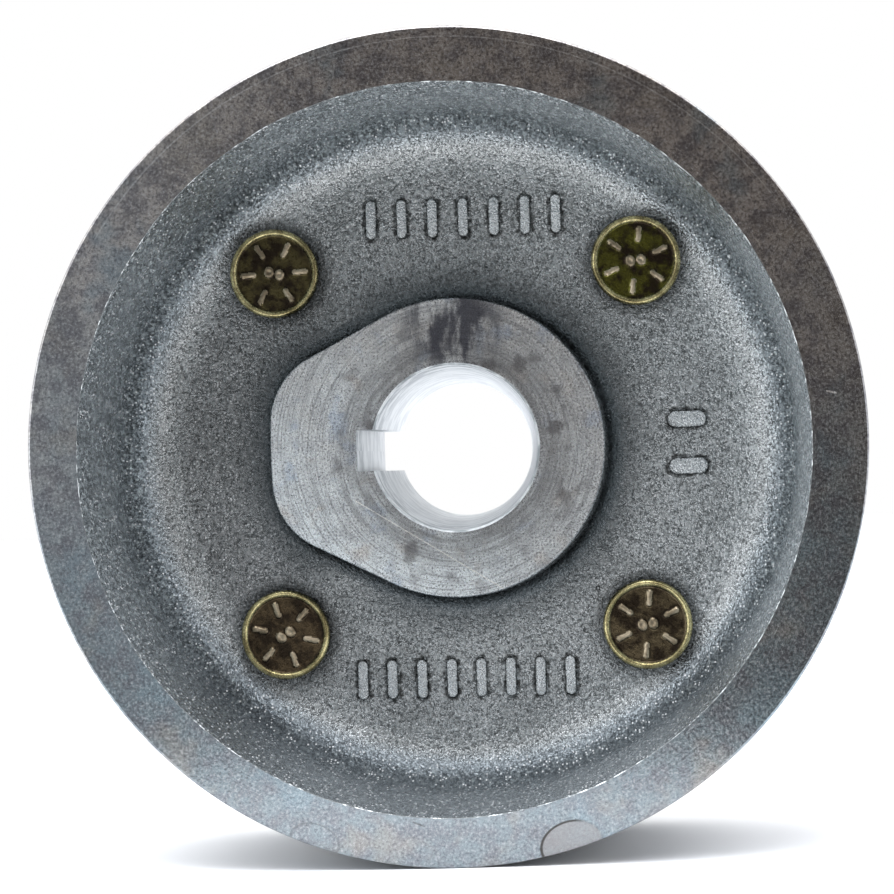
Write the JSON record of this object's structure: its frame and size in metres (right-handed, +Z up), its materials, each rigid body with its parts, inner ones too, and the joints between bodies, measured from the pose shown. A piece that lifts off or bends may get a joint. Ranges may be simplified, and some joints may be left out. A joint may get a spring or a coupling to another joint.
{
  "type": "flywheel",
  "caption": "Cup-shaped cast flywheel with a machined rim face, a lobed hub with a keyed tapered bore, and press-in studs out of its rear face.",
  "frame": {"origin": "on the axis of the bore, in the plane of the hub's front face, where the tapered bore is widest", "axes": "+Y along the axis from the open front to the studs; +Z up; the keyway is on the -X side of the bore"},
  "size_m": [0.122, 0.0737, 0.122],
  "materials": {
    "zinc_plated_iron": "clear zinc plate over as-cast skin; rim face, hub face and bore machined",
    "yellow_zinc_steel": "yellow chromated zinc, olive brown in the dish of the head and gold on its rim"
  },
  "bodies": {
    "root": {"flywheel_casting": "zinc_plated_iron", "stud_upper_right": "yellow_zinc_steel", "stud_upper_left": "yellow_zinc_steel", "stud_lower_left": "yellow_zinc_steel", "stud_lower_right": "yellow_zinc_steel"}
  },
  "joints": []
}
